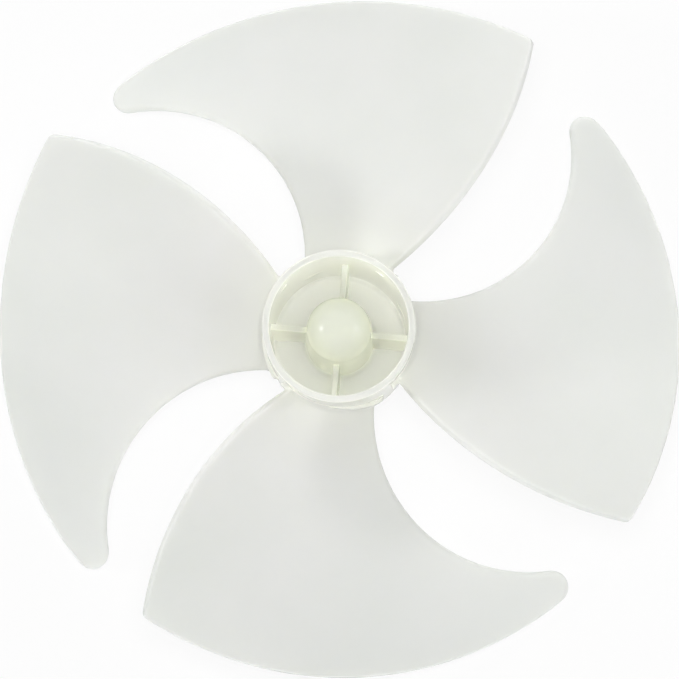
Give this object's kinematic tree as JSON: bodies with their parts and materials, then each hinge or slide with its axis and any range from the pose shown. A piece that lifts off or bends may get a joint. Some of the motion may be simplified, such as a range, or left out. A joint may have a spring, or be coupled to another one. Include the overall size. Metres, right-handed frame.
{
  "type": "evaporator fan blade",
  "caption": "Moulded axial fan with swept sickle blades on a cup-shaped hub with a domed shaft boss, pressed on a small motor shaft to move air over a refrigerator evaporator.",
  "frame": {"origin": "on the axis of rotation, in the plane of the hub's back face", "axes": "+Z along the axis of rotation, out of the open side of the hub; +Y along the first blade's own axis; the shaft enters from -Z"},
  "size_m": [0.1084, 0.1084, 0.0274],
  "materials": {
    "natural_polypropylene": "natural moulded polypropylene, milky and slightly translucent, satin gloss"
  },
  "bodies": {
    "root": {"fan_blade": "natural_polypropylene"}
  },
  "joints": []
}
